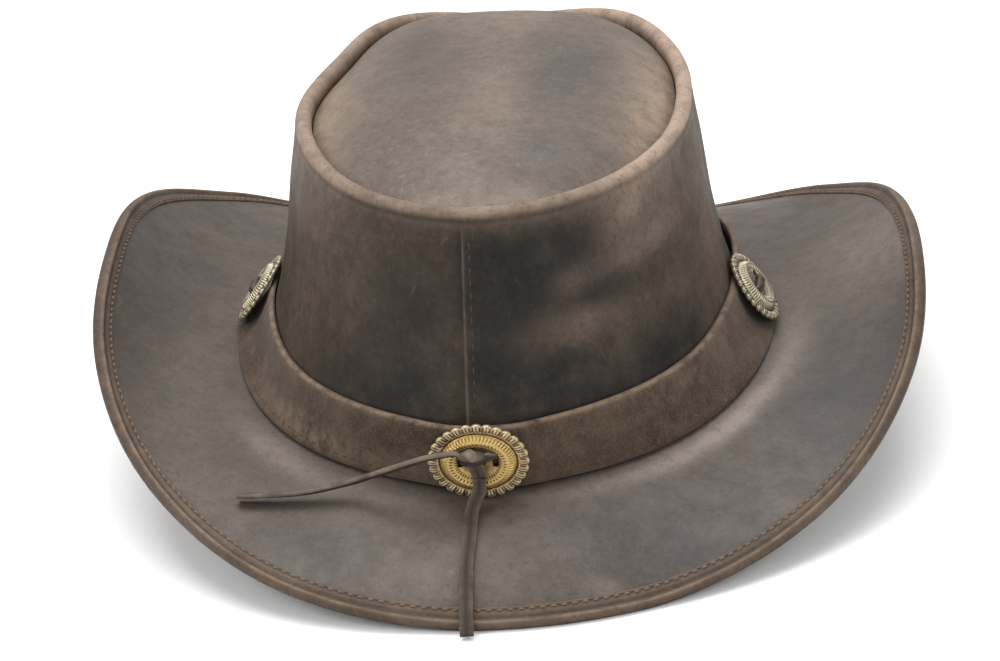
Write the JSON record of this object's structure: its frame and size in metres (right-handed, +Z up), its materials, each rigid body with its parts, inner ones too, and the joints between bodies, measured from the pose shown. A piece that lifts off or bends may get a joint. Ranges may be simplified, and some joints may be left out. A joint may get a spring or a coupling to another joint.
{
  "type": "bush hat",
  "caption": "Worn brown leather bush hat with a rolled brim, a suede band, brass conchos and a tied thong.",
  "frame": {"origin": "on the table, under the middle of the brim's outline", "axes": "+Z up, +Y towards the front of the hat, the seam and the knotted concho at the back on -Y, +X to the wearer's right"},
  "size_m": [0.2856, 0.3381, 0.1284],
  "materials": {
    "crown_leather": "oiled, rubbed",
    "brim_leather": "oiled, satin",
    "edge_leather": "rubbed, satin",
    "band_leather": "suede, matt",
    "lace_leather": "matt",
    "concho_brass": "antique, polished on the high parts"
  },
  "bodies": {
    "root": {"crown_side": "crown_leather", "crown_tip": "crown_leather", "brim": "brim_leather", "brim_binding": "edge_leather", "hat_band": "band_leather", "concho_back": "concho_brass", "concho_left": "concho_brass", "concho_right": "concho_brass", "lace_knot": "lace_leather", "lace_left": "lace_leather", "lace_right": "lace_leather", "lace_tail_back": "lace_leather", "lace_tail_side": "lace_leather"}
  },
  "joints": []
}
